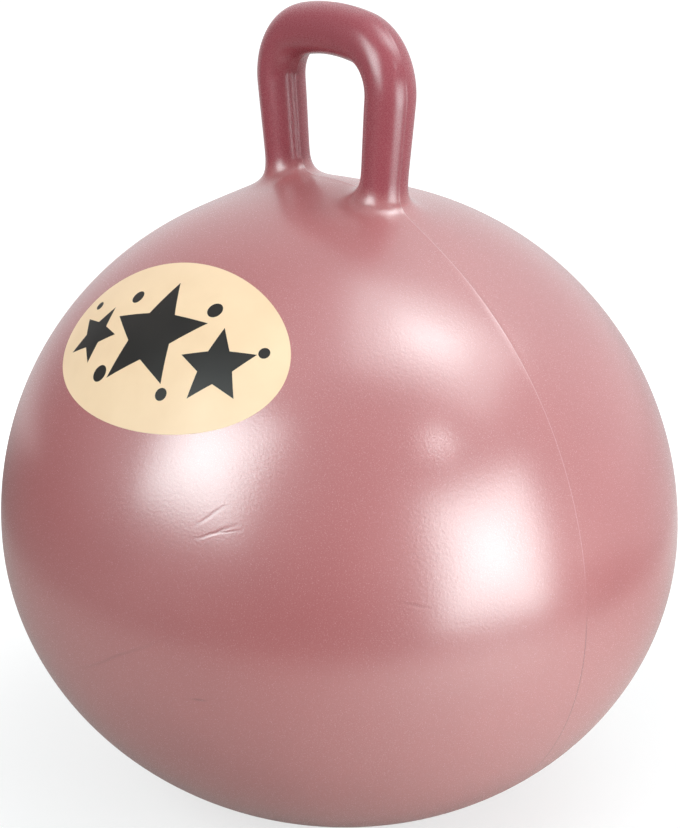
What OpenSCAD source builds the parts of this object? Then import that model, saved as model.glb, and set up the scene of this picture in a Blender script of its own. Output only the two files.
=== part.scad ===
// Hopper ball: an inflated ball to sit and bounce on, with a hollow handle moulded on its crown
// and a stopper valve in its back. Lengths are in millimetres and angles in degrees.
// The ball sits on z = 0, the handle lies in the plane y = 0 and the valve looks along +Y.

/* [Ball] */
// Diameter of the ball at its widest level
ball_dia = 450; // [390:1:540]
// Rise from the widest level to the crown
crown_rise = 223; // [195:0.5:260]
// Drop from the widest level to the lower pole, before its weight presses it flat
base_drop = 198.5; // [170:0.5:240]
// Diameter of the flat patch that the ball sits on
rest_dia = 92; // [60:1:130]
// Wall of the stretched skin
skin_wall = 1.2; // [0.9:0.1:2.5]

/* [Handle] */
// Spacing of the legs where they leave the ball
leg_spacing = 90; // [80:1:110]
// Diameter of a leg at the ball
leg_dia = 28.6; // [24:0.2:33]
// Lean of a leg away from the middle
leg_splay = 5.9; // [2:0.1:8]
// Diameter of the grip
grip_dia = 30.6; // [26:0.2:34]
// Height of the grip's centre above the crown
grip_rise = 95.5; // [80:0.5:120]
// Radius along which the grip is bowed
bow_radius = 157; // [120:1:300]
// Radius of the corners between grip and legs
bend_radius = 31; // [24:0.5:40]
// Radius of the short bend that stands a leg up from the ball
heel_radius = 80; // [40:1:160]
// Radius of the fillet between a leg and the ball
root_fillet = 10; // [7:0.5:13]
// Wall of the handle, thicker than the stretched skin
handle_wall = 3.2; // [2:0.1:5]

/* [Parting line] */
// Width of the raised line that the two mould halves leave
seam_width = 1.2; // [0.8:0.1:2]
// Height of the raised line
seam_height = 0.35; // [0.2:0.05:0.6]

/* [Valve] */
// Angle of the valve above the widest level, round the ball's section
valve_angle = 35; // [20:1:55]
// Diameter of the air bore
bore_dia = 9.2; // [7:0.1:12]
// Diameter of the seat's barrel
barrel_dia = 22; // [20:0.5:26]
// Length of the seat's barrel
barrel_length = 21; // [18:0.5:30]
// Diameter of the seat's inner flange
flange_dia = 31; // [28:0.5:40]
// Thickness of the seat's inner flange
flange_wall = 2.5; // [1.5:0.1:4]
// Diameter of the stopper's head
head_dia = 16; // [13.5:0.1:18]
// Thickness of the stopper's head
head_wall = 2.2; // [1.6:0.1:3]
// Length of the stopper's stem below its head
stem_length = 15; // [12:0.5:16]
// Diameter of the hollow up the stem
stem_hollow = 4.4; // [3:0.1:5]

/* [Hidden] */
$fn = 96;

// How far a cut runs past the face it cuts
overrun = 1;
// Running clearance between the stem's barbs and the bore
stem_clearance = 0.05;
// Each rod of the handle runs a lap into the next one, which is thicker by a step
lap = 1.5;
step = 0.1;
// Clearance round the stopper's head and round the seat's barrel
head_clearance = 0.3;
barrel_clearance = 0.1;
// Edge of a handle foot, and the rim by which its flat on the ball is wider
foot_lip = 0.3;
foot_margin = 1.2;
// Depth of the thickened skin under a foot and round the valve
pad_depth = 3.6;
// Barbs of the stem, the taper of its tip, and the soft edge of the head
barb_count = 3;
barb_depth = 0.5;
barb_share = 0.55;
tip_share = 0.2;
hollow_share = 0.8;
head_edge = 0.9;
// Nail notch beside the head
notch_dia = 5;

ball_r = ball_dia / 2;
leg_r = leg_dia / 2;
grip_r = grip_dia / 2;

// Height of the widest level above the floor
rest_level = base_drop * sqrt(1 - pow(rest_dia / ball_dia, 2));
// Radius of the ball's surface at the crown, and how far it drops over a flat
crown_radius = pow(ball_r, 2) / crown_rise;
function sag(r) = crown_radius - sqrt(pow(crown_radius, 2) - pow(r, 2));

// Where a leg leaves the ball, and the lean of the ball's surface there
root_x = leg_spacing / 2;
root_rise = crown_rise * sqrt(1 - pow(root_x / ball_r, 2));
root_lean = atan2(root_x / pow(ball_r, 2), root_rise / pow(crown_rise, 2));
// A foot is as wide as its fillet, which runs out along the ball
foot_r = (leg_r + root_fillet) * crown_radius / (crown_radius + root_fillet);
foot_sag = sag(foot_r);
fillet_level = sqrt(pow(crown_radius + root_fillet, 2) - pow(leg_r + root_fillet, 2))
    - crown_radius + foot_sag + foot_lip;
pass_r = leg_r - handle_wall;

// Centre line of the handle, in its own plane: heel, leg, corner and bowed grip
function along(lean) = [sin(lean), cos(lean)];
function inward(lean) = [-cos(lean), sin(lean)];
heel_start = [root_x, root_rise] + (fillet_level - foot_sag) * along(root_lean);
heel_centre = heel_start + heel_radius * inward(root_lean);
leg_start = heel_centre - heel_radius * inward(leg_splay);
bow_centre = [0, crown_rise + grip_rise - bow_radius];
reach = leg_start + bend_radius * inward(leg_splay) - bow_centre;
reach_along = reach * along(leg_splay);
leg_length = sqrt(pow(reach_along, 2) - reach * reach + pow(bow_radius - bend_radius, 2)) - reach_along;
bend_centre = bow_centre + reach + leg_length * along(leg_splay);
bow_start = atan2(bend_centre[1] - bow_centre[1], bend_centre[0]);
// Angles that the lap takes up on the heel and on the corner
heel_lap = lap / heel_radius * 180 / PI;
bend_lap = lap / bend_radius * 180 / PI;

// Where the valve sits on the ball's section, and the tilt of the surface there
valve_out = ball_r * cos(valve_angle);
valve_rise = crown_rise * sin(valve_angle);
valve_tilt = atan2(valve_rise / pow(crown_rise, 2), valve_out / pow(ball_r, 2));
barrel_r = barrel_dia / 2;
bore_r = bore_dia / 2;
head_r = head_dia / 2;
// Levels along the valve's axis, from the ball's surface
seat_face = -sag(barrel_r + barrel_clearance);
shoulder = seat_face - head_wall;
pad_face = -pad_depth;
seat_end = seat_face - barrel_length;
barb_r = bore_r - stem_clearance;
barb_pitch = stem_length * (1 - tip_share) / barb_count;

// Stands its children on the ball where a leg leaves it, along the ball's own normal
module at_root(side) {
    translate([side * root_x, 0, rest_level + root_rise])
        rotate([0, side * root_lean, 0])
            children();
}

// Stands its children on the ball's back where the valve is
module at_valve() {
    translate([0, valve_out, rest_level + valve_rise])
        rotate([valve_tilt - 90, 0, 0])
            children();
}

// Stands what is drawn in the handle's plane upright, measured from the widest level
module in_handle_plane() {
    translate([0, 0, rest_level])
        rotate([90, 0, 0])
            children();
}

// Ball's section from its axis outwards, above and below the widest level, less an inset
module half_section(inset) {
    outer = ball_r - inset;
    intersection() {
        scale([1, (crown_rise - inset) / outer])
            circle(outer);
        square(ball_dia);
    }
    intersection() {
        scale([1, (base_drop - inset) / outer])
            circle(outer);
        translate([0, -ball_dia])
            square(ball_dia);
    }
}

// Takes away what lies below a level near the floor
module above(level) {
    difference() {
        children();
        translate([0, 0, level - base_drop])
            cylinder(r = ball_r, h = base_drop);
    }
}

// The whole ball, pressed flat where it sits
module oval(inset) {
    above(inset)
        translate([0, 0, rest_level])
            rotate_extrude()
                half_section(inset);
}

// Raised line round the ball, where the mould parted
module ball_seam() {
    above(0)
        in_handle_plane()
            linear_extrude(seam_width, center = true) {
                half_section(-seam_height);
                mirror([1, 0])
                    half_section(-seam_height);
            }
}

// Air space of the ball, held back by the pads under the feet and round the valve
module cavity() {
    difference() {
        oval(skin_wall);
        for (side = [-1, 1])
            at_root(side)
                translate([0, 0, -foot_sag - pad_depth])
                    cylinder(r = foot_r, h = 2 * pad_depth);
        at_valve()
            translate([0, 0, pad_face])
                cylinder(r = flange_dia / 2 + pad_depth, h = 2 * pad_depth);
    }
}

// Flat on the ball that a foot stands on, and the air way into the handle
module root_cut() {
    translate([0, 0, -foot_sag])
        cylinder(r = foot_r + foot_margin, h = foot_sag + seam_height + overrun);
    translate([0, 0, -foot_sag - pad_depth - overrun])
        cylinder(r = pass_r, h = pad_depth + 2 * overrun);
}

module ball_shell() {
    color("#c08a90")
        difference() {
            union() {
                oval(0);
                ball_seam();
            }
            cavity();
            for (side = [-1, 1])
                at_root(side)
                    root_cut();
            at_valve()
                translate([0, 0, pad_face - overrun])
                    cylinder(r = barrel_r + barrel_clearance, h = pad_depth + 2 * overrun);
        }
}

// Sweeps a profile along an arc of the handle's centre line
module bend(centre, radius, start, sweep) {
    translate(centre)
        rotate(start)
            rotate_extrude(angle = sweep)
                translate([radius, 0])
                    children();
}

// Half outline of a foot, with a fillet that runs out along the ball
module foot_profile(margin) {
    difference() {
        square([foot_r, fillet_level]);
        translate([leg_r + root_fillet, fillet_level])
            circle(root_fillet - margin);
    }
}

// Section of a rod: round, or the flat strip that stands out of it as the parting line
module rod_section(r, flat) {
    if (flat)
        square([2 * r, seam_width], center = true);
    else
        circle(r);
}

// One straight leg, which widens towards the grip
module leg(r1, r2, flat) {
    if (flat)
        rotate([90, 0, 0])
            linear_extrude(seam_width, center = true)
                polygon([[-r1, 0], [r1, 0], [r2, leg_length + 2 * lap], [-r2, leg_length + 2 * lap]]);
    else
        cylinder(r1 = r1, r2 = r2, h = leg_length + 2 * lap);
}

// Heels, legs, corners and grip, thinner by an inset
module arch(inset, flat = false) {
    in_handle_plane() {
        for (side = [0, 1])
            mirror([side, 0, 0]) {
                bend(heel_centre, heel_radius, -root_lean - heel_lap, root_lean - leg_splay + heel_lap)
                    rod_section(leg_r - step - inset, flat);
                translate(leg_start - lap * along(leg_splay))
                    rotate([-90, 0, -leg_splay])
                        leg(leg_r - 2 * step - inset, grip_r - 2 * step - inset, flat);
                bend(bend_centre, bend_radius, -leg_splay, bow_start + leg_splay + bend_lap)
                    rod_section(grip_r - step - inset, flat);
            }
        bend(bow_centre, bow_radius, bow_start, 180 - 2 * bow_start)
            rod_section(grip_r - inset, flat);
    }
}

// Raised line over a foot
module foot_seam() {
    rotate([90, 0, 0])
        linear_extrude(seam_width, center = true) {
            foot_profile(seam_height);
            mirror([1, 0])
                foot_profile(seam_height);
        }
}

module handle() {
    color("#97525b")
        difference() {
            union() {
                arch(0);
                arch(-seam_height, flat = true);
                for (side = [-1, 1])
                    at_root(side)
                        translate([0, 0, -foot_sag]) {
                            rotate_extrude()
                                foot_profile(0);
                            foot_seam();
                        }
            }
            arch(handle_wall);
            for (side = [-1, 1])
                at_root(side)
                    translate([0, 0, -foot_sag - overrun])
                        cylinder(r = pass_r, h = fillet_level + overrun);
        }
}

module valve_seat() {
    color("#b27a81")
        at_valve()
            difference() {
                union() {
                    translate([0, 0, seat_end])
                        cylinder(r = barrel_r, h = barrel_length);
                    translate([0, 0, pad_face - flange_wall])
                        cylinder(r = flange_dia / 2, h = flange_wall);
                }
                translate([0, 0, seat_end - overrun])
                    cylinder(r = bore_r, h = barrel_length + 2 * overrun);
                translate([0, 0, shoulder])
                    cylinder(r = head_r + head_clearance, h = head_wall + overrun);
                translate([0, head_r, shoulder])
                    cylinder(d = notch_dia, h = head_wall + overrun);
            }
}

// Head of the stopper, with its outer edge rounded
module head_profile() {
    square([head_r - head_edge, head_wall]);
    square([head_r, head_wall - head_edge]);
    translate([head_r - head_edge, head_wall - head_edge])
        circle(head_edge);
}

module valve_plug() {
    core_r = barb_r - barb_depth;
    tip_length = stem_length * tip_share;
    color("#e9e2dc")
        at_valve()
            translate([0, 0, shoulder])
                difference() {
                    union() {
                        rotate_extrude()
                            head_profile();
                        translate([0, 0, tip_length - stem_length])
                            cylinder(r = core_r, h = stem_length - tip_length);
                        for (i = [0 : barb_count - 1])
                            translate([0, 0, tip_length - stem_length + i * barb_pitch])
                                cylinder(r1 = core_r, r2 = barb_r, h = barb_pitch * barb_share);
                        translate([0, 0, -stem_length])
                            cylinder(r1 = core_r - barb_depth, r2 = core_r, h = tip_length);
                    }
                    translate([0, 0, -stem_length - overrun])
                        cylinder(d = stem_hollow, h = stem_length * hollow_share + overrun);
                }
}

ball_shell();
handle();
valve_seat();
valve_plug();
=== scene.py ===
# %% [markdown]
# # A hopper ball, dressed for its photograph
# The imported CAD part is the fixed frame: where each piece sits and how the stopper moves comes from
# there. Blender adds what a solid can't show: one seamless stretched skin, its pearly vinyl, the print
# and the light.

# %% Load the frame
import math

import bmesh
import bpy
import numpy as np
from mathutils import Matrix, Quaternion, Vector


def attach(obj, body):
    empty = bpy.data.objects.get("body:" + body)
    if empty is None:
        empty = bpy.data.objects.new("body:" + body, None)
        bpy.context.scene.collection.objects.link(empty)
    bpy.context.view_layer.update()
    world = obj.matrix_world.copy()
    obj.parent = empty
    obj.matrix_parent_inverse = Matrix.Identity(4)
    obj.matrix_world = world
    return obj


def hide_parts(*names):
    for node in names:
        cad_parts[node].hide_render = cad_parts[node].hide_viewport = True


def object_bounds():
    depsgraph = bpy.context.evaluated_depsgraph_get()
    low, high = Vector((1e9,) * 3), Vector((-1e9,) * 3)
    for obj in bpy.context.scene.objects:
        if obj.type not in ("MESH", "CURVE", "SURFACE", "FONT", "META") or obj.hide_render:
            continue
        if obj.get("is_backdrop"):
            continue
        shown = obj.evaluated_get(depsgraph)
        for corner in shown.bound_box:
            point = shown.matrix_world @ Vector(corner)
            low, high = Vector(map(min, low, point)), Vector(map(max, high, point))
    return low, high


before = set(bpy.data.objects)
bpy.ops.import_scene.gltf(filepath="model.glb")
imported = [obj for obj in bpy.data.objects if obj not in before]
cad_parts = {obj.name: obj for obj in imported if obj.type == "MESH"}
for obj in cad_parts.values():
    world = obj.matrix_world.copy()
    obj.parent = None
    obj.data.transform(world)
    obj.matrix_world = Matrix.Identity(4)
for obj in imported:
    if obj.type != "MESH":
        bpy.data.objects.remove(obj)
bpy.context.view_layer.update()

# %% [markdown]
# ## The camera
# The photograph was taken from the front right corner and a little above, with a longer lens. The
# camera circles the middle of the ball: turn, rise and distance say where it stands. The picture was
# framed with the ball low, so the lens is shifted instead of tilted, which keeps the ball's outline
# true.

# %% Camera
MM = 0.001
WIDEST = 194.307 * MM          # height of the ball's widest level above the floor
BALL_CENTRE = Vector((0, 0, WIDEST))
TURN, RISE = math.radians(51.42), math.radians(23.57)
STAND_BACK = 1.1307            # from the ball's centre to the lens
ROLL = math.radians(-0.39)     # the camera wasn't held quite level
SENSOR, FOCAL = 36.0, 72.7     # both in millimetres, as Blender takes them
SHIFT_X, SHIFT_Y = 0.0039, 0.1221


def towards(turn, rise):
    """Unit vector from the ball to something at that turn round it and that rise above level."""
    return Vector((math.sin(turn) * math.cos(rise), -math.cos(turn) * math.cos(rise), math.sin(rise)))


view_back = towards(TURN, RISE)
lens = bpy.data.cameras.new("photo_lens")
lens.sensor_width, lens.lens = SENSOR, FOCAL
lens.shift_x, lens.shift_y = SHIFT_X, SHIFT_Y
camera = bpy.data.objects.new("photo_camera", lens)
camera.rotation_mode = "QUATERNION"
camera.location = BALL_CENTRE + view_back * STAND_BACK
camera.rotation_quaternion = (-view_back).to_track_quat("-Z", "Y") @ Quaternion((0, 0, 1), ROLL)
bpy.context.scene.collection.objects.link(camera)
bpy.context.scene.camera = camera
print("camera stands at", [round(x, 3) for x in camera.location])

# %% [markdown]
# ## The form of the skin
# A hopper ball leaves its mould as one skin: ball and handle flow into each other through a soft
# fillet. Polygons alone would make that hard to control, so the form is first written as a distance:
# how far a point is from the ball, how far from the handle's rod, and a rounded union of the two. A
# mesh of the right layout is then settled onto the surface where that distance is zero. A blown skin is
# never quite round: along the handle it is a little wider than across it, and between and around the
# handle's stiff feet it is drawn up to a low ridge. Round the valve it keeps the mould's round form, so
# that the valve's seat lies flush.

# %% Distance to the ball
HALF_ALONG, HALF_ACROSS, HALF_MOULD = 230 * MM, 220.5 * MM, 225 * MM
CROWN, BASE = 223 * MM, 198.5 * MM
VALVE_POINT = Vector((0, 184.31, 322.22)) * MM
VALVE_AXIS = Vector((0, 0.816735, 0.577013))
VALVE_EASE = (20 * MM, 95 * MM)
RIDGE_HALF, RIDGE_LIFT = 45 * MM, 5 * MM
RIDGE_ALONG, RIDGE_ACROSS = 40 * MM, 26 * MM


def ease(x, start, end):
    """0 at start, 1 at end, smooth between them."""
    t = np.clip((x - start) / (end - start), 0, 1)
    return t * t * (3 - 2 * t)


def oval_distance(points, half_x, half_y):
    """Distance to an oval ball, which is a little taller above its widest level than below."""
    off = points - np.array([0, 0, WIDEST])
    half = np.empty_like(off)
    half[:, 0], half[:, 1] = half_x, half_y
    half[:, 2] = np.where(off[:, 2] >= 0, CROWN, BASE)
    size, slope = np.linalg.norm(off / half, axis=1), np.linalg.norm(off / half**2, axis=1)
    return size * (size - 1) / slope


def ball_distance(points):
    """Distance to the blown ball, with its ridge, and with its round form about the valve."""
    off = points - np.array(VALVE_POINT)
    beside = np.linalg.norm(off - np.outer(off @ np.array(VALVE_AXIS), VALVE_AXIS), axis=1)
    moulded = np.where(points[:, 1] > 0, 1 - ease(beside, *VALVE_EASE), 0)
    beyond = np.maximum(np.abs(points[:, 0]) - RIDGE_HALF, 0)
    ridge = np.exp(-((beyond / RIDGE_ALONG) ** 2) - (points[:, 1] / RIDGE_ACROSS) ** 2)
    ridge = ridge * (points[:, 2] > WIDEST)
    stretched = oval_distance(points, HALF_ALONG, HALF_ACROSS) - RIDGE_LIFT * ridge
    return stretched + moulded * (oval_distance(points, HALF_MOULD, HALF_MOULD) - stretched)


print("ball is", round(2 * HALF_ALONG, 3), "by", round(2 * HALF_ACROSS, 3), "m at its widest level")

# %% [markdown]
# ## The handle's centre line
# The handle is a bent rod: it leaves the ball square to the skin, stands up through a slow heel, runs
# straight, turns a corner and bows over the top. Walking along it piece by piece, each piece with a
# length and a turn, gives every centre and angle, and the same walk later places the rings of the mesh.

# %% Walk along the handle
ROOT_OUT, ROOT_RISE = 45 * MM, 218.491 * MM        # where a leg starts, from the ball's centre
ROOT = np.array([ROOT_OUT, WIDEST + ROOT_RISE])
LEAN, SPLAY = math.radians(11.437), math.radians(5.9)
TOP_TURN = math.radians(79.94)
LEVEL = math.pi / 2
STUB, LEG = 9.06 * MM, 47.62 * MM
HEEL, CORNER, BOW = 80 * MM, 31 * MM, 157 * MM
# each piece: its radius, or None where it is straight, and the heading where it ends, or its length
WALK = [(None, STUB), (HEEL, SPLAY), (None, LEG), (CORNER, -TOP_TURN), (BOW, -LEVEL)]


def ahead(heading):
    return np.array([math.sin(heading), math.cos(heading)])


def outside(heading):
    return np.array([math.cos(heading), -math.sin(heading)])


def walk_pieces():
    """(radius, start, start heading, end heading, centre or length) of each piece of the leg at +X."""
    at, heading, pieces = ROOT, LEAN, []
    for radius, end in WALK:
        if radius is None:
            pieces.append((None, at, heading, heading, end))
            at = at + end * ahead(heading)
        else:
            centre = at - radius * outside(heading)
            pieces.append((radius, at, heading, end, centre))
            at, heading = centre + radius * outside(end), end
    return pieces


PIECES = walk_pieces()
top = PIECES[-1][4] + BOW * outside(-LEVEL)
print("the walk ends over the middle at", top.round(4))

# %% [markdown]
# ## Distance to the handle
# The handle is the same on both sides, so a point's X is taken as positive. Its nearest place on each
# piece of the walk is found in the handle's plane, and the distance across that plane is added
# afterwards. The rod is a little thicker in the grip than at the feet.

# %% Distance to the handle
LEG_R, GRIP_R = 14.3 * MM, 15.3 * MM
THICKEN = (ROOT[1] + 10 * MM, ROOT[1] + 70 * MM)


def piece_distance(flat, piece):
    """Distance in the handle's plane to one piece of the walk."""
    radius, start, heading, end, more = piece
    if radius is None:
        run = np.clip((flat - start) @ ahead(heading), 0, more)
        return np.linalg.norm(flat - start - run[:, None] * ahead(heading), axis=1)
    off = flat - more
    angle = np.clip(np.arctan2(-off[:, 1], off[:, 0]), end, heading)
    return np.linalg.norm(off - radius * np.stack([np.cos(angle), -np.sin(angle)], 1), axis=1)


def handle_distance(points):
    flat = np.stack([np.abs(points[:, 0]), points[:, 2]], 1)
    in_plane = np.min([piece_distance(flat, piece) for piece in PIECES], axis=0)
    thick = LEG_R + (GRIP_R - LEG_R) * ease(points[:, 2], *THICKEN)
    return np.hypot(in_plane, points[:, 1]) - thick


crest = np.array([[0, 0, top[1] + GRIP_R]])
print("the grip's crest is off the rod by", float(handle_distance(crest)[0].round(6)), "m")

# %% [markdown]
# ## Join them and settle on them
# The smaller of the two distances joins ball and rod with a sharp corner. Taking off a little more
# where the two are nearly equal fills that corner with a fillet. A point is brought onto the skin by
# stepping down the slope of the distance a few times, which works from either side.

# %% Rounded union, slope and settling
FILLET = 20 * MM
PROBE_STEP = 0.02 * MM
LEAST_SLOPE = 0.05      # keeps the step short where the distance hardly changes


def skin_distance(points):
    """Ball and handle joined by a fillet that fades into both, cut level where the ball sits."""
    ball, rod = ball_distance(points), handle_distance(points)
    near = np.maximum(1 - np.abs(ball - rod) / FILLET, 0)
    return np.maximum(np.minimum(ball, rod) - FILLET / 6 * near**3, -points[:, 2])


def skin_slope(points):
    """Which way the distance grows, which is straight out of the skin."""
    steps = [skin_distance(points + PROBE_STEP * axis) - skin_distance(points - PROBE_STEP * axis)
             for axis in np.eye(3)]
    return np.stack(steps, 1) / (2 * PROBE_STEP)


def settle(points, rounds=8):
    """Moves points straight onto the skin."""
    for _ in range(rounds):
        slope = skin_slope(points)
        step = skin_distance(points) / np.maximum((slope**2).sum(1), LEAST_SLOPE)
        points = points - step[:, None] * slope
    return points


probe = settle(np.array([[0.3, 0, 0.2], [0, 0, 0.6], [0.06, 0.02, 0.42]]))
print("settled probes", probe.round(4).tolist())

# %% [markdown]
# ## A cage for the skin
# A sphere of longitudes has pinched poles just where the handle stands. A cube whose faces are cut into
# eight by eight cells and blown up to a ball has even cells all over, and puts a corner of four cells
# close to each root of the handle and to the valve. The cells are spaced by equal angles.

# %% Blow a cube up to a ball
CELLS = 8
EIGHTH = math.pi / 4
cage = bmesh.new()
bmesh.ops.create_cube(cage, size=2)
bmesh.ops.subdivide_edges(cage, edges=cage.edges[:], cuts=CELLS - 1, use_grid_fill=True)
for corner in cage.verts:
    ray = Vector([math.tan(c * EIGHTH) for c in corner.co])
    half_z = CROWN if ray.z >= 0 else BASE
    reach = Vector((ray.x / HALF_ALONG, ray.y / HALF_ACROSS, ray.z / half_z)).length
    corner.co = BALL_CENTRE + ray / reach
print("cage of", len(cage.faces), "cells")

# %% [markdown]
# ## Feet and valve hole
# Where a leg leaves the ball, and where the valve sits, the four cells round a corner are inset and
# their rim is set on a circle of eight points. That circle is the foot of a leg, or the edge of the
# hole. A number on each point of the circle remembers its place, so that the rings which grow from it
# line up.

# %% Inset round patches
FOOT_R, HOLE_R = 29 * MM, 11.1 * MM
PATCH_INSET = 6 * MM
spoke = cage.verts.layers.int.new("spoke")


def round_patch(centre, out, radius):
    """Insets the cells round the corner nearest to centre and rounds their rim. Returns the inner cells."""
    across = Vector((0, 1, 0)) if abs(centre.x) > abs(centre.y) else Vector((1, 0, 0))
    hub = min(cage.verts, key=lambda v: (v.co - centre).length)
    cells = list(hub.link_faces)
    bmesh.ops.inset_region(cage, faces=cells, thickness=PATCH_INSET,
                           use_boundary=True, use_even_offset=True)
    hub.co = centre
    for v in {v for cell in cells for v in cell.verts} - {hub}:
        off = v.co - centre
        place = round(math.atan2(off.dot(across), off.dot(out)) / EIGHTH) % 8
        v[spoke] = place + 1
        angle = place * EIGHTH
        v.co = centre + radius * (math.cos(angle) * out + math.sin(angle) * across)
    return cells


feet = {}
for side in (1, -1):
    root = Vector((side * ROOT[0], 0, ROOT[1]))
    out = outside(LEAN)
    feet[side] = round_patch(root, Vector((side * out[0], 0, out[1])), FOOT_R)
valve_up = Vector((1, 0, 0)).cross(VALVE_AXIS).normalized()
hole_cells = round_patch(VALVE_POINT, valve_up, HOLE_R)
bmesh.ops.delete(cage, geom=hole_cells, context="FACES")
print("cage now has", len(cage.faces), "cells and", sum(e.is_boundary for e in cage.edges), "open edges")

# %% [markdown]
# ## Rings for the handle
# The handle grows from its feet ring by ring: two rings shape the fillet, then the rings follow leg,
# corner and bow. They stand closer together in the corner, because subdivision cuts a bend short where
# its rings are far apart.

# %% Places of the rings
FILLET_RINGS = ((6.5 * MM, 19 * MM), (15 * MM, LEG_R))      # height above the root, and radius
RING_SHARES = ((), (0.95,), (0.35, 0.7), (0.0, 0.3, 0.6, 0.9), (0.45,))      # how far along each piece


def ring_places():
    """Centre, heading and radius of each ring of one half, from the fillet up."""
    rings = [(ROOT + up * ahead(LEAN), LEAN, radius) for up, radius in FILLET_RINGS]
    for number, (radius, at, heading, end, more) in enumerate(PIECES):
        for share in RING_SHARES[number]:
            if radius is None:
                rings.append((at + share * more * ahead(heading), heading, LEG_R))
            else:
                turned = heading + share * (end - heading)
                rings.append((more + radius * outside(turned), turned, GRIP_R if number > 1 else LEG_R))
    return rings


print(len(ring_places()), "rings on each half of the handle")

# %% [markdown]
# ## Grow the handle
# Each foot is extruded from ring to ring. The two halves meet over the middle, where their end caps are
# removed and the open rims are bridged. From the first ring up, the cells get the mesh's second
# material, because the handle has a vinyl of its own.

# %% Extrude the legs and bridge the grip
BALL_SLOT, HANDLE_SLOT = 0, 1


def grow(cells, side):
    """Extrudes a foot along one half of the handle. Returns the cells of its end cap."""
    for centre, heading, radius in ring_places():
        grown = bmesh.ops.extrude_face_region(cage, geom=cells)["geom"]
        bmesh.ops.delete(cage, geom=[cell for cell in cells if cell.is_valid], context="FACES")
        cells = [g for g in grown if isinstance(g, bmesh.types.BMFace)]
        out = outside(heading)
        for v in {v for cell in cells for v in cell.verts}:
            angle = (v[spoke] - 1) * EIGHTH
            reach = radius if v[spoke] else 0
            flat = centre + reach * math.cos(angle) * out
            v.co = (side * flat[0], reach * math.sin(angle), flat[1])
        for cell in cells:
            cell.material_index = HANDLE_SLOT
    return cells


caps = grow(feet[1], 1) + grow(feet[-1], -1)
bmesh.ops.delete(cage, geom=caps, context="FACES")
rims = [e for e in cage.edges if e.is_boundary and e.verts[0].co.z > ROOT[1]]
bridged = bmesh.ops.bridge_loops(cage, edges=rims)
for cell in bridged["faces"]:
    cell.material_index = HANDLE_SLOT
bmesh.ops.recalc_face_normals(cage, faces=cage.faces[:])
print("bridge of", len(bridged["faces"]), "cells,", sum(e.is_boundary for e in cage.edges), "open edges,",
      sum(len(e.link_faces) > 2 for e in cage.edges), "edges with more than two cells,",
      sum(cell.material_index == HANDLE_SLOT for cell in cage.faces), "cells of the handle")

# %% [markdown]
# ## Smooth it and settle it
# Subdivision Surface rounds the cage to small even cells, and only then are the points settled on the
# written form. The modifier is applied, because the points have to move afterwards.

# %% Subdivide and settle
cage_mesh = bpy.data.meshes.new("skin_cage")
cage.to_mesh(cage_mesh)
cage.free()
cage_mesh.attributes.remove(cage_mesh.attributes["spoke"])
cage_object = bpy.data.objects.new("skin_cage", cage_mesh)
bpy.context.scene.collection.objects.link(cage_object)
rounding = cage_object.modifiers.new("rounding", "SUBSURF")
rounding.levels = rounding.render_levels = 3
rounded = cage_object.evaluated_get(bpy.context.evaluated_depsgraph_get())
skin_mesh = bpy.data.meshes.new_from_object(rounded)
bpy.data.objects.remove(cage_object)


def points_of(mesh):
    flat = np.empty(len(mesh.vertices) * 3)
    mesh.vertices.foreach_get("co", flat)
    return flat.reshape(-1, 3)


def set_points(mesh, points):
    mesh.vertices.foreach_set("co", points.ravel())
    mesh.update()


set_points(skin_mesh, settle(points_of(skin_mesh)))
print("skin of", len(skin_mesh.polygons), "cells, off the form by at most",
      float(np.abs(skin_distance(points_of(skin_mesh))).max().round(7)), "m")

# %% [markdown]
# ## The parting line
# The mould opens in the handle's plane and leaves a fine raised line all round, over the ball and along
# the handle. Two cuts on each side of that plane and one in it give the line its own narrow strips, and
# the middle is lifted by a seventh of a millimetre. Where the skin is stretched most it is lower, and
# it stops short of the floor.

# %% Cut and lift the parting line
LINE_HALF, LINE_LIFT = 0.6 * MM, 0.14 * MM
LINE_FOOT, LINE_RISE = (3 * MM, 9 * MM), (290 * MM, 390 * MM)
LOW_LIFT = 0.25         # share of the lift that is left where the skin is stretched
SAME_POINT = 1e-7
skin = bmesh.new()
skin.from_mesh(skin_mesh)
for offset in (-LINE_HALF, -LINE_HALF / 2, 0, LINE_HALF / 2, LINE_HALF):
    bmesh.ops.bisect_plane(skin, geom=skin.verts[:] + skin.edges[:] + skin.faces[:], dist=SAME_POINT,
                           plane_co=(0, offset, 0), plane_no=(0, 1, 0))
skin.to_mesh(skin_mesh)
skin.free()
points = points_of(skin_mesh)
strip = np.abs(points[:, 1]) < LINE_HALF * 1.01
points[strip] = np.where(points[strip][:, 2:] > 1 * MM, settle(points[strip], 3), points[strip])
slope = skin_slope(points)
slope /= np.linalg.norm(slope, axis=1)[:, None]
fade = LOW_LIFT * ease(points[:, 2], *LINE_FOOT) + (1 - LOW_LIFT) * ease(points[:, 2], *LINE_RISE)
lift = LINE_LIFT * (1 - ease(np.abs(points[:, 1]), 0, LINE_HALF)) * fade
set_points(skin_mesh, points + lift[:, None] * slope)
print("parting line runs through", int(strip.sum()), "points")

# %% [markdown]
# ## The valve's pocket
# The rim of the hole is set on a true circle, and its edge is extruded inwards and softened by a small
# bevel, as where the skin is bonded to the seat.

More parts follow.
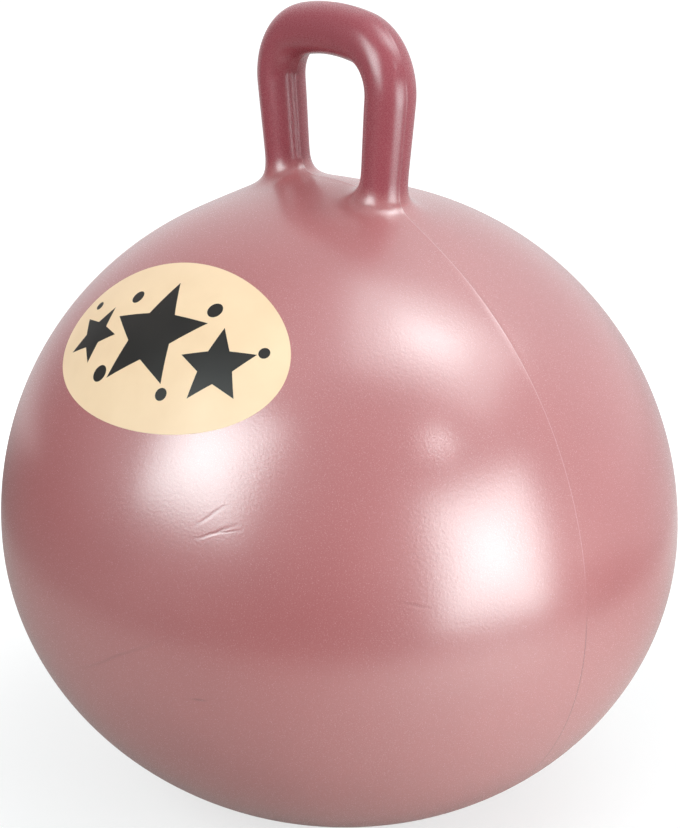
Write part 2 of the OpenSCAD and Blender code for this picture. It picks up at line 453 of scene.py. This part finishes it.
# %% Turn the rim inwards
POCKET_DEPTH, RIM_BEVEL = 3 * MM, 0.35 * MM
skin = bmesh.new()
skin.from_mesh(skin_mesh)
rim = [e for e in skin.edges if e.is_boundary]
for v in {v for e in rim for v in e.verts}:
    off = v.co - VALVE_POINT
    off -= off.dot(VALVE_AXIS) * VALVE_AXIS
    place = VALVE_POINT + HOLE_R * off.normalized()
    for _ in range(4):
        place -= VALVE_AXIS * float(ball_distance(np.array([place]))[0])
    v.co = place
turned = bmesh.ops.extrude_edge_only(skin, edges=rim)["geom"]
inner = [g for g in turned if isinstance(g, bmesh.types.BMVert)]
bmesh.ops.translate(skin, verts=inner, vec=-POCKET_DEPTH * VALVE_AXIS)
bmesh.ops.bevel(skin, geom=rim, offset=RIM_BEVEL, segments=2, profile=0.5, affect="EDGES", material=-1)
bmesh.ops.recalc_face_normals(skin, faces=skin.faces[:])
skin.to_mesh(skin_mesh)
skin.free()
print("valve pocket is", POCKET_DEPTH, "m deep inside a rim of radius", HOLE_R, "m")

# %% [markdown]
# ## Where the vinyl is thick, and where the line shows
# The ball is blown up like a balloon, so its vinyl is stretched thin and pale, while the handle keeps
# its full wall and a deeper colour. How far a point stands off the ball says which of the two it is,
# and is kept on the mesh as an attribute that the material reads. A second one marks the top of the
# parting line for painted light: above the ball's middle it gets a painted highlight, and below it
# gets painted shade, which a value under zero says.

# %% Mark thickness and line
THICK_EASE = (1 * MM, 15 * MM)
# The parting line gets a painted highlight from this height up, and painted shade below the ball's middle.
LINE_HIGHLIGHT_SHARE, LINE_HIGHLIGHT_FROM = 0.55, (220 * MM, 240 * MM)
LINE_SHADE_BELOW = (196 * MM, 212 * MM)
LINE_ENDS = (0, 9 * MM)        # the line isn't coloured on the handle


def keep_on_skin(name, values):
    kept = skin_mesh.attributes.new(name, "FLOAT", "POINT")
    kept.data.foreach_set("value", values.astype(np.float32))


points = points_of(skin_mesh)
off_ball, across, height = ball_distance(points), np.abs(points[:, 1]), points[:, 2]
keep_on_skin("thick", ease(off_ball, *THICK_EASE))
# Painted highlight on the line's top high on the ball, painted shade on it low down.
painted_highlight = LINE_HIGHLIGHT_SHARE * ease(height, *LINE_HIGHLIGHT_FROM) * (across < LINE_HALF / 4)
painted_shade = (1 - ease(height, *LINE_SHADE_BELOW)) * (across < LINE_HALF * 0.6)
keep_on_skin("line", (painted_highlight - painted_shade) * (1 - ease(off_ball, *LINE_ENDS)))
print("marked", int((off_ball > THICK_EASE[1]).sum()), "points as thick,", int((painted_highlight > 0).sum()),
      "as rubbed and", int((painted_shade > 0).sum()), "as soiled")

# %% [markdown]
# ## Hang the skin on its body
# The finished mesh becomes one object that rides on the ball's body. It stands for two CAD nodes, the
# shell and the handle, which stay in the simulation for collision.

# %% The skin as a piece
skin_mesh.polygons.foreach_set("use_smooth", [True] * len(skin_mesh.polygons))
skin_mesh.name = "ball_skin"
ball_skin = bpy.data.objects.new("ball_skin", skin_mesh)
bpy.context.scene.collection.objects.link(ball_skin)
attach(ball_skin, "ball")
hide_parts("ball_shell", "handle")
print("skin has", sum(len(p.vertices) - 2 for p in skin_mesh.polygons), "triangles")

# %% [markdown]
# ## The print
# A pale badge with dark stars and dots is printed high on the front. It is drawn flat, with u to the
# right and v up: an oval is a grid whose sides are bowed out, a star is a fan of triangles whose rim
# goes in and out.

# %% Draw the print flat
STAR_WAIST = 0.46       # how far out the inner corners of a star are, as a share of its points
TENTH = math.pi / 5     # ten corners go round a star


def disc(flat, u, v, half_u, half_v, cells):
    """An oval of even cells."""
    for corner in bmesh.ops.create_grid(flat, x_segments=cells, y_segments=cells, size=1)["verts"]:
        x, y = corner.co.x, corner.co.y
        bowed_x, bowed_y = x * math.sqrt(1 - y * y / 2), y * math.sqrt(1 - x * x / 2)
        corner.co = (u + half_u * bowed_x, v + half_v * bowed_y, 0)


def star(flat, u, v, reach, tilt):
    """A star of five points, cut fine enough to follow the ball."""
    made = bmesh.ops.create_circle(flat, cap_ends=True, cap_tris=True, segments=10, radius=1)["verts"]
    for corner in made:
        if corner.co.length < 0.5:
            corner.co = (u, v, 0)
            continue
        step = round(math.atan2(-corner.co.x, corner.co.y) / TENTH)
        angle = step * TENTH + math.radians(90 + tilt)
        far = reach if step % 2 == 0 else STAR_WAIST * reach
        corner.co = (u + far * math.cos(angle), v + far * math.sin(angle), 0)
    rays = {edge for corner in made for edge in corner.link_edges}
    bmesh.ops.subdivide_edges(flat, edges=list(rays), cuts=4, use_grid_fill=True)


STARS = ((-6, 2, 38, 8), (-58, -6, 21, -12), (49, -4, 25, 20))      # u, v and reach in mm, tilt in degrees
DOTS = ((-38, 24, 4.5), (-32, -30, 5.5), (27, 28, 5), (24, -31, 4), (72, 14, 3.5), (-74, 15, 3))
badge, marks = bmesh.new(), bmesh.new()
disc(badge, 0, 0, 92 * MM, 57 * MM, 36)
for u, v, reach, tilt in STARS:
    star(marks, u * MM, v * MM, reach * MM, tilt)
for u, v, radius in DOTS:
    disc(marks, u * MM, v * MM, radius * MM, radius * MM, 8)
print("print of", len(badge.faces), "and", len(marks.faces), "cells")

# %% [markdown]
# ## Wrap the print round the ball
# Each point keeps its distance from the middle of the print as an arc on the ball. It is then settled
# on the skin and lifted by the thickness of the ink, and a Solidify modifier gives the film a closed
# edge.

# %% Wrap the print
PRINT_TURN, PRINT_RISE = math.radians(9), math.radians(46.5)
BADGE_LIFT, MARKS_LIFT = 0.04 * MM, 0.07 * MM
FILM = 0.08 * MM


def wrapped_places(u, v):
    """Where the flat points of the print lie on the skin."""
    out = np.array(towards(PRINT_TURN, PRINT_RISE))
    right = np.array([math.cos(PRINT_TURN), math.sin(PRINT_TURN), 0])
    far = np.maximum(np.hypot(u, v), 1e-9)
    arc = far / HALF_MOULD
    beside = (np.outer(u, right) + np.outer(v, np.cross(out, right))) / far[:, None]
    rays = np.cos(arc)[:, None] * out + np.sin(arc)[:, None] * beside
    return settle(np.array(BALL_CENTRE) + HALF_MOULD * rays)


def wrap(flat, lift, name):
    mesh = bpy.data.meshes.new(name)
    bmesh.ops.recalc_face_normals(flat, faces=flat.faces[:])
    flat.to_mesh(mesh)
    flat.free()
    places = wrapped_places(points_of(mesh)[:, 0], points_of(mesh)[:, 1])
    slope = skin_slope(places)
    set_points(mesh, places + lift * slope / np.linalg.norm(slope, axis=1)[:, None])
    mesh.polygons.foreach_set("use_smooth", [True] * len(mesh.polygons))
    film = bpy.data.objects.new(name, mesh)
    bpy.context.scene.collection.objects.link(film)
    edge = film.modifiers.new("film", "SOLIDIFY")
    edge.thickness, edge.offset = FILM, -1
    film.modifiers.new("crisp_edge", "EDGE_SPLIT").split_angle = math.radians(40)
    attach(film, "ball")
    return film


badge_film, marks_film = wrap(badge, BADGE_LIFT, "print_badge"), wrap(marks, MARKS_LIFT, "print_marks")
middle = BALL_CENTRE + HALF_MOULD * towards(PRINT_TURN, PRINT_RISE)
print("print wrapped, middle at", [round(x, 3) for x in middle])

# %% [markdown]
# ## A grain for every vinyl piece
# Soft vinyl takes a fine pebble from its mould and thins in broad, cloudy patches. Both are used by
# more than one material, so they are one node group. How many pebbles and clouds lie along a metre is
# set wherever it is used.

# %% Node group: its sockets
grain_group = bpy.data.node_groups.new("moulded_grain", "ShaderNodeTree")
for name in ("Pebbles", "Clouds"):
    grain_group.interface.new_socket(name, in_out="INPUT", socket_type="NodeSocketFloat")
for name in ("Height", "Cloud", "Fleck"):
    grain_group.interface.new_socket(name, in_out="OUTPUT", socket_type="NodeSocketFloat")
print("group", grain_group.name, "has sockets", [s.name for s in grain_group.interface.items_tree])

# %% [markdown]
# ## What is inside the grain
# Three noises on Object coordinates give a height for the bump, a cloud value and a fleck value for the
# pearl pigment, whose grains are the finest. Noise stays close to its middle, so clouds and flecks are
# stretched.

# %% Node group: its noises
FLECKS = 1900.0


def add_node(tree, kind, **settings):
    node = tree.nodes.new(kind)
    for key, value in settings.items():
        setattr(node, key, value)
    return node


def noise(tree, place, scale, detail, roughness=0.5):
    """A noise texture on a place socket. The scale is a number of cells per metre, or a socket."""
    node = add_node(tree, "ShaderNodeTexNoise")
    tree.links.new(place, node.inputs["Vector"])
    if isinstance(scale, (int, float)):
        node.inputs["Scale"].default_value = scale
    else:
        tree.links.new(scale, node.inputs["Scale"])
    node.inputs["Detail"].default_value = detail
    node.inputs["Roughness"].default_value = roughness
    return node.outputs["Fac"]


def spread(tree, value, low, high, first=0.0, last=1.0, kind="LINEAR"):
    """Stretches a value so that low becomes first and high becomes last, and stops there."""
    node = add_node(tree, "ShaderNodeMapRange", clamp=True, interpolation_type=kind)
    tree.links.new(value, node.inputs["Value"])
    for key, number in (("From Min", low), ("From Max", high), ("To Min", first), ("To Max", last)):
        node.inputs[key].default_value = number
    return node.outputs["Result"]


inside = add_node(grain_group, "NodeGroupInput")
outcome = add_node(grain_group, "NodeGroupOutput")
place = add_node(grain_group, "ShaderNodeTexCoord").outputs["Object"]
pebble = noise(grain_group, place, inside.outputs["Pebbles"], 2.0, 0.6)
cloud = noise(grain_group, place, inside.outputs["Clouds"], 3.0)
fleck = noise(grain_group, place, FLECKS, 0.0)
grain_group.links.new(pebble, outcome.inputs["Height"])
grain_group.links.new(spread(grain_group, cloud, 0.3, 0.7), outcome.inputs["Cloud"])
grain_group.links.new(spread(grain_group, fleck, 0.35, 0.75), outcome.inputs["Fleck"])
print("group", grain_group.name, "holds", len(grain_group.nodes), "nodes")

# %% [markdown]
# ## The colour of the skin
# The ball is a mid rose that is cloudy where the skin was blown thin, and it deepens where the vinyl is
# thick. The parting line is mixed in last: a painted highlight where its mark is above zero and
# painted dark red shade where it is below.

# %% Colour of the rose vinyl
ROSE_PALE, ROSE_MID = (0.46, 0.092, 0.096), (0.43, 0.082, 0.087)
ROSE_DEEP = (0.375, 0.075, 0.096)
# Colours of the parting line's painted highlight and painted shade; the shade colour also darkens the
# creases.
PAINTED_HIGHLIGHT_PINK, PAINTED_SHADE_RED = (0.80, 0.50, 0.50), (0.25, 0.016, 0.024)


def blend(tree, factor, first, second):
    """Mix of two colours, each a socket or a tuple."""
    node = add_node(tree, "ShaderNodeMix", data_type="RGBA")
    tree.links.new(factor, node.inputs[0])
    for socket, colour in ((node.inputs[6], first), (node.inputs[7], second)):
        if isinstance(colour, tuple):
            socket.default_value = (*colour, 1)
        else:
            tree.links.new(colour, socket)
    return node.outputs[2]


def rose_colour(tree, cloud, thickness):
    line = add_node(tree, "ShaderNodeAttribute", attribute_name="line").outputs["Fac"]
    stretched = blend(tree, cloud, ROSE_MID, ROSE_PALE)
    body = blend(tree, thickness, stretched, ROSE_DEEP)
    # Painted highlight where the line's mark is above zero, painted shade where it is below.
    painted_highlight = blend(tree, spread(tree, line, 0, 1), body, PAINTED_HIGHLIGHT_PINK)
    return blend(tree, spread(tree, line, 0, -1), painted_highlight, PAINTED_SHADE_RED)


print("rose goes from", ROSE_DEEP, "on the handle to", ROSE_PALE, "on the ball")

# %% [markdown]
# ## The gloss of the skin
# A white pearl is in the rose: away from the lamps it is deep, and it pales where it mirrors something
# bright. The grained vinyl itself mirrors the lamps, and a rough coat with a high index over it gives
# the broad white haze of mica. The handle has little of that haze, so it is deeper and clearer.

# %% Gloss and pearl of the rose vinyl
SATIN = (0.16, 0.28)            # roughness off and on a fleck
HANDLE_SATIN = 0.07             # added where the vinyl is thick
PEARL = (0.8, 1.0)              # weight of the haze off and on a fleck
HANDLE_PEARL = 0.08             # share of the haze that is left where the vinyl is thick
HAZE_ROUGHNESS, HAZE_INDEX = 0.58, 2.35


def maths(tree, kind, first, second=0.0):
    node = add_node(tree, "ShaderNodeMath", operation=kind)
    for socket, value in zip(node.inputs, (first, second)):
        if isinstance(value, (int, float)):
            socket.default_value = value
        else:
            tree.links.new(value, socket)
    return node.outputs[0]


def rose_gloss(tree, shader, fleck, thickness):
    satin = spread(tree, fleck, 0, 1, *SATIN)
    duller = maths(tree, "MULTIPLY", thickness, HANDLE_SATIN)
    tree.links.new(maths(tree, "ADD", satin, duller), shader.inputs["Roughness"])
    pearl = spread(tree, fleck, 0, 1, *PEARL)
    mica = maths(tree, "MULTIPLY", pearl, spread(tree, thickness, 0, 1, 1.0, HANDLE_PEARL))
    tree.links.new(mica, shader.inputs["Coat Weight"])
    shader.inputs["Coat Roughness"].default_value = HAZE_ROUGHNESS
    shader.inputs["Coat IOR"].default_value = HAZE_INDEX


print("haze of roughness", HAZE_ROUGHNESS, "over satin of roughness", SATIN)

# %% [markdown]
# ## One vinyl for the ball and one for the handle
# Both are the same rose, but the blown ball mirrors more strongly and shows its grain, while the handle
# is plainer and smoother. The index of refraction has to be one number for a whole material, so there
# are two materials. The ball's bump comes in the next step, together with its creases.

# %% Materials: rose vinyl
BALL_INDEX, HANDLE_INDEX = 2.0, 1.7
GRAIN_STRENGTH, HANDLE_GRAIN = 0.8, 0.05 * MM


def new_material(name):
    made = bpy.data.materials.new(name)
    made.use_nodes = True
    tree = made.node_tree
    return made, tree, tree.nodes["Principled BSDF"]


def grain(tree, pebbles, clouds):
    node = add_node(tree, "ShaderNodeGroup", node_tree=grain_group)
    node.inputs["Pebbles"].default_value, node.inputs["Clouds"].default_value = pebbles, clouds
    return node.outputs


def bump(tree, shader, height, depth, strength):
    node = add_node(tree, "ShaderNodeBump")
    node.inputs["Strength"].default_value, node.inputs["Distance"].default_value = strength, depth
    tree.links.new(height, node.inputs["Height"])
    tree.links.new(node.outputs["Normal"], shader.inputs["Normal"])


def rose_vinyl(name, index):
    """The skin's vinyl. The index says how strongly its face mirrors. Returns what a bump needs."""
    made, tree, shader = new_material(name)
    detail = grain(tree, pebbles=640.0, clouds=11.0)
    thickness = add_node(tree, "ShaderNodeAttribute", attribute_name="thick").outputs["Fac"]
    tree.links.new(rose_colour(tree, detail["Cloud"], thickness), shader.inputs["Base Color"])
    rose_gloss(tree, shader, detail["Fleck"], thickness)
    shader.inputs["IOR"].default_value = index
    ball_skin.data.materials.append(made)
    return tree, shader, detail["Height"]


ball_tree, ball_shader, ball_height = rose_vinyl("rose_pearl_vinyl", BALL_INDEX)
handle_tree, handle_shader, handle_height = rose_vinyl("rose_handle_vinyl", HANDLE_INDEX)
bump(handle_tree, handle_shader, handle_height, HANDLE_GRAIN, GRAIN_STRENGTH)
print("materials", [m.name for m in ball_skin.data.materials], "on", ball_skin.name)

# %% [markdown]
# ## The shape of a crease
# A folded skin keeps a few fine creases after it is blown up. They are far finer than the mesh, so each
# is a groove in the bump: it fades along and across from its middle, and also inwards, so that it
# doesn't show on the far side of the ball. A slow noise shifts the places that are measured, so that no
# crease is quite straight.

# %% Creases as masks
CREASE_DEEP = 60 * MM
WOBBLE, WOBBLES = 6 * MM, 45.0


def measure(tree, place, direction):
    """How far a place lies in that direction."""
    node = add_node(tree, "ShaderNodeVectorMath", operation="DOT_PRODUCT")
    tree.links.new(place, node.inputs[0])
    node.inputs[1].default_value = direction
    return node.outputs["Value"]


def crease(tree, place, start, end, width):
    """How deep a crease from start to end is at a place: 1 in its middle, 0 off it."""
    start, end = Vector(start) * MM + BALL_CENTRE, Vector(end) * MM + BALL_CENTRE
    middle, along = (start + end) / 2, (end - start).normalized()
    out = (middle - BALL_CENTRE).normalized()
    offset = add_node(tree, "ShaderNodeVectorMath", operation="SUBTRACT")
    tree.links.new(place, offset.inputs[0])
    offset.inputs[1].default_value = middle
    depth = 1.0
    for axis, reach in ((along, (end - start).length / 2), (along.cross(out), width), (out, CREASE_DEEP)):
        share = maths(tree, "ABSOLUTE", measure(tree, offset.outputs[0], axis))
        depth = maths(tree, "MULTIPLY", spread(tree, share, 0, reach, 1.0, 0.0, "SMOOTHSTEP"), depth)
    return depth


place = add_node(ball_tree, "ShaderNodeTexCoord").outputs["Object"]
shifted = add_node(ball_tree, "ShaderNodeVectorMath", operation="MULTIPLY_ADD")
ball_tree.links.new(noise(ball_tree, place, WOBBLES, 2.0), shifted.inputs[0])
shifted.inputs[1].default_value = (0, 0, WOBBLE)
ball_tree.links.new(place, shifted.inputs[2])
print("places for the creases wander by up to", WOBBLE, "m")

# %% [markdown]
# ## Creases on the ball
# Three creases lie together in the front, where the ball was folded hardest, and the rest are single.
# Each is taken off the height of the grain, and painted shade darkens its groove in the colour.

# %% Creases, painted shade and grain
BALL_GRAIN = 0.13 * MM
# each crease: start and end in mm from the ball's centre, width in mm, depth in grains, share of painted
# shade
CREASES = (
    ((98, -184, 79), (119, -166, 97), 1.6, 1.1, 0.3),
    ((100, -186, 72), (126, -166, 87), 1.8, 1.5, 0.3),
    ((110, -178, 78), (128, -165, 83), 1.2, 0.9, 0.3),
    ((190, -114, 48), (206, -92, 40), 1.8, 0.9, 0.2),
    ((10, -216, -37), (102, -198, 19), 1.6, 0.7, 0.4),
    ((105, -194, -22), (119, -188, -20), 1.2, 0.9, 0.8))
# Painted shade in the grooves of the creases, mixed into the colour.
crease_shade = 0.0
for start, end, width, depth, shade_share in CREASES:
    groove = crease(ball_tree, shifted.outputs[0], start, end, width * MM)
    ball_height = maths(ball_tree, "SUBTRACT", ball_height, maths(ball_tree, "MULTIPLY", groove, depth))
    crease_shade = maths(ball_tree, "ADD", maths(ball_tree, "MULTIPLY", groove, shade_share), crease_shade)
unshaded_colour = ball_shader.inputs["Base Color"].links[0].from_socket
ball_tree.links.new(blend(ball_tree, crease_shade, unshaded_colour, PAINTED_SHADE_RED), ball_shader.inputs["Base Color"])
bump(ball_tree, ball_shader, ball_height, BALL_GRAIN, GRAIN_STRENGTH)
print(len(CREASES), "creases cut into", ball_skin.data.materials[BALL_SLOT].name)

# %% [markdown]
# ## Seat and stopper
# Both keep their CAD solids, whose shape is right, and only get a finish. The seat is the ball's own
# vinyl in its unstretched colour, and the stopper is an off-white soft plastic that picks up a little
# grey in its grain.

# %% Materials: seat and stopper
seat_vinyl, tree, shader = new_material("seat_rose_vinyl")
detail = grain(tree, pebbles=900.0, clouds=160.0)
seat_colour = blend(tree, detail["Cloud"], (0.26, 0.066, 0.078), (0.31, 0.083, 0.095))
tree.links.new(seat_colour, shader.inputs["Base Color"])
bump(tree, shader, detail["Height"], 0.03 * MM, 0.5)
shader.inputs["Roughness"].default_value = 0.42

plug_plastic, tree, shader = new_material("stopper_plastic")
detail = grain(tree, pebbles=1400.0, clouds=220.0)
plug_colour = blend(tree, detail["Cloud"], (0.72, 0.68, 0.62), (0.80, 0.77, 0.71))
tree.links.new(plug_colour, shader.inputs["Base Color"])
bump(tree, shader, detail["Height"], 0.02 * MM, 0.5)
shader.inputs["Roughness"].default_value = 0.5

for node, material in (("valve_seat", seat_vinyl), ("valve_plug", plug_plastic)):
    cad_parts[node].data.materials.clear()
    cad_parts[node].data.materials.append(material)
print("finished seat and stopper")

# %% [markdown]
# ## Ink
# The print is an even, silky ink that is a little worn: its grain is the vinyl's own, seen through a
# thin film.

# %% Materials: ink
for film, name, first, second in (
        (badge_film, "pale_ink", (0.90, 0.62, 0.40), (0.96, 0.68, 0.45)),
        (marks_film, "dark_ink", (0.012, 0.009, 0.008), (0.020, 0.015, 0.013))):
    ink, tree, shader = new_material(name)
    detail = grain(tree, pebbles=560.0, clouds=30.0)
    tree.links.new(blend(tree, detail["Cloud"], first, second), shader.inputs["Base Color"])
    bump(tree, shader, detail["Height"], 0.06 * MM, 0.5)
    shader.inputs["Roughness"].default_value = 0.45
    film.data.materials.append(ink)
print("inked", badge_film.name, "and", marks_film.name)

# %% [markdown]
# ## The floor
# The floor is one wide face. It isn't part of the object, so it is marked as the stage.

# %% Floor
FLOOR_HALF = 8
floor_mesh = bpy.data.meshes.new("floor")
flat = bmesh.new()
bmesh.ops.create_grid(flat, x_segments=1, y_segments=1, size=FLOOR_HALF)
flat.to_mesh(floor_mesh)
flat.free()
floor = bpy.data.objects.new("floor", floor_mesh)
bpy.context.scene.collection.objects.link(floor)
floor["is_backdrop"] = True
print("floor laid,", 2 * FLOOR_HALF, "m wide")

# %% [markdown]
# ## The floor as the ball mirrors it
# A sheet of pale paper lies under the ball and sweeps up behind it. In the ball's underside it shows as
# a paler band, lightest towards the lamp on the right, where a pool of that lamp's light is painted into
# the paper's colour, and at the rim as a pale edge. Beyond the paper the floor is dark, a little less so
# at the far left. The paper that sweeps up is out of the floor's plane, so a glow on the floor stands for
# it.

# %% Material: paper and bare floor
PAPER_R, PAPER_EDGE = 0.56, 0.25
# The paler paper colour is a painted pool of light from the lamp on the right.
PAPER_DIM, PAPER_PAINTED_LIGHT = (0.49, 0.465, 0.44), (0.75, 0.715, 0.685)
BARE_DARK, BARE_LEFT = (0.05, 0.048, 0.046), (0.24, 0.22, 0.21)
SWEEP_GLOW = 0.65
TO_THE_RIGHT, TO_THE_BACK = TURN + math.radians(75), TURN + math.radians(155)
paper, tree, shader = new_material("studio_floor")
tree.nodes.remove(shader)
place = add_node(tree, "ShaderNodeTexCoord").outputs["Object"]
distance = add_node(tree, "ShaderNodeVectorMath", operation="LENGTH")
tree.links.new(place, distance.inputs[0])
from_ball = distance.outputs["Value"]
beside = measure(tree, place, towards(TO_THE_RIGHT, 0))
# Painted light: the paper pales towards the lamp on the right.
paper_with_painted_light = blend(tree, spread(tree, beside, -0.05, 0.35, kind="SMOOTHSTEP"), PAPER_DIM, PAPER_PAINTED_LIGHT)
bare = blend(tree, spread(tree, beside, -0.9, -0.4, 1.0, 0.0, "SMOOTHSTEP"), BARE_DARK, BARE_LEFT)
beyond = spread(tree, from_ball, PAPER_R, PAPER_R + PAPER_EDGE, kind="SMOOTHSTEP")
laid = add_node(tree, "ShaderNodeBsdfDiffuse")
tree.links.new(blend(tree, beyond, paper_with_painted_light, bare), laid.inputs["Color"])
behind = measure(tree, place, towards(TO_THE_BACK, 0))
sweep = add_node(tree, "ShaderNodeEmission")
tree.links.new(spread(tree, behind, 0.25, 0.8, 0.0, SWEEP_GLOW, "SMOOTHSTEP"), sweep.inputs["Strength"])
print("paper of", PAPER_R, "m radius on", floor.name)

# %% [markdown]
# ## The floor as the camera sees it
# To the camera the floor is white all over, and it keeps the soft shadow under the ball. Light Path
# tells a ray from the camera from all others. White is a glow and a grey face together: the glow fills
# what the lamps don't light, and only the grey face takes the shadow.

# %% Material: the white floor
NEAR_GLOW, FAR_GLOW = 0.66, 0.97
SHADE_GREY = (0.36, 0.36, 0.36, 1)


def add_shaders(tree, first, second):
    node = add_node(tree, "ShaderNodeAddShader")
    tree.links.new(first.outputs[0], node.inputs[0])
    tree.links.new(second.outputs[0], node.inputs[1])
    return node.outputs[0]


glow = add_node(tree, "ShaderNodeEmission")
fading = spread(tree, from_ball, 0.2, 0.65, NEAR_GLOW, FAR_GLOW, "SMOOTHSTEP")
tree.links.new(fading, glow.inputs["Strength"])
shaded = add_node(tree, "ShaderNodeBsdfDiffuse")
shaded.inputs["Color"].default_value = SHADE_GREY
seen = add_node(tree, "ShaderNodeLightPath").outputs["Is Camera Ray"]
either = add_node(tree, "ShaderNodeMixShader")
tree.links.new(seen, either.inputs[0])
tree.links.new(add_shaders(tree, laid, sweep), either.inputs[1])
tree.links.new(add_shaders(tree, glow, shaded), either.inputs[2])
tree.links.new(either.outputs[0], tree.nodes["Material Output"].inputs["Surface"])
floor_mesh.materials.append(paper)
print("floor has", paper.name, "with", len(tree.nodes), "nodes")

# %% [markdown]
# ## Studio light
# Three soft boxes light the ball: two stand in front, left and right, and one hangs over its shoulder.
# Each shows on the skin as a pale panel with a hot middle, where the lamp is behind the cloth. So each
# is a stack of panels, every one smaller than the one behind it, and where they overlap their light
# adds up. A box is placed by the way it is seen from its shine on the ball: turn, rise and distance. A
# small bare lamp gives the small shine between them.

# %% Lamps
LAMP_TINT = (0.88, 1.0, 1.0)


def lamp(name, spot, aim, size, brightness):
    """A lamp seen from a spot on the ball. Its face has that brightness, where 1 is the white of paper."""
    turn, rise, distance = aim
    light = bpy.data.lights.new(name, "AREA")
    if isinstance(size, tuple):
        light.shape, (light.size, light.size_y) = "RECTANGLE", size
        area = size[0] * size[1]
    else:
        light.shape, light.size = "DISK", size
        area = math.pi * (size / 2) ** 2
    light.energy, light.color = brightness * math.pi * area, LAMP_TINT
    away = towards(math.radians(turn), math.radians(rise))
    placed = bpy.data.objects.new(name, light)
    placed.location = Vector(spot) + away * distance
    placed.rotation_mode = "QUATERNION"
    placed.rotation_quaternion = away.to_track_quat("Z", "Y")
    bpy.context.scene.collection.objects.link(placed)


PANEL_GAP = 0.01
# each box: the spot of its shine, its turn, rise and distance, its width and height,
# and its panels, each with its share of that size and its brightness
SOFT_BOXES = (
    ("left", (0.094, -0.168, 0.307), (-4.5, 32.4, 1.2), (0.95, 1.05),
     ((1.02, 1.3), (0.84, 2.2), (0.66, 1.6), (0.46, 1.2), (0.26, 1.0))),
    ("right", (0.210, -0.060, 0.263), (97.6, 6.4, 0.7), (0.575, 0.63),
     ((1.16, 1.1), (0.95, 2.2), (0.75, 1.5), (0.50, 0.8), (0.28, 1.2))),
    ("top", (0.143, -0.047, 0.362), (137, 66.4, 1.4), (0.85, 1.15),
     ((1.30, 0.4), (1.05, 1.5), (0.55, 2.0), (0.30, 2.4))))
for side, spot, (turn, rise, distance), (wide, high), panels in SOFT_BOXES:
    for number, (share, brightness) in enumerate(panels):
        aim = (turn, rise, distance - PANEL_GAP * number)
        lamp(f"softbox_{side}_{number}", spot, aim, (wide * share, high * share), brightness)
lamp("lamp_small", (0.177, -0.071, 0.316), (91.8, 43.4, 1.6), 0.2, 10.0)

# %% [markdown]
# ## The room
# Behind the ball the studio is white and in front, where the camera stands, it is darker. A gradient
# over the world's directions gives the ball its pale rim and its deeper middle. The camera itself sees
# plain white.

# %% World
WALL_DARK, WALL_WHITE = (0.10, 0.10, 0.10), (0.98, 0.98, 0.99)
CEILING = (0.5, 0.5, 0.52)
world = bpy.data.worlds.new("studio_room")
bpy.context.scene.world = world
world.use_nodes = True
tree = world.node_tree
way = add_node(tree, "ShaderNodeTexCoord").outputs["Generated"]
to_back = measure(tree, way, towards(TO_THE_BACK, math.radians(10)))
walls = blend(tree, spread(tree, to_back, 0.0, 0.9, kind="SMOOTHSTEP"), WALL_DARK, WALL_WHITE)
overhead = spread(tree, measure(tree, way, (0, 0, 1)), 0.82, 0.98, kind="SMOOTHSTEP")
room = blend(tree, overhead, walls, CEILING)
seen = add_node(tree, "ShaderNodeLightPath").outputs["Is Camera Ray"]
tree.links.new(blend(tree, seen, room, (1.0, 1.0, 1.0)), tree.nodes["Background"].inputs["Color"])
bpy.context.scene.view_settings.view_transform = "Standard"
print("room", world.name, "set with", len(tree.nodes), "nodes")

# %% [markdown]
# ## Sizes
# The box of the dressed part is printed.

# %% Write the sizes and finish
low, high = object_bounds()
print("visual box", [round(x, 4) for x in low], [round(x, 4) for x in high])
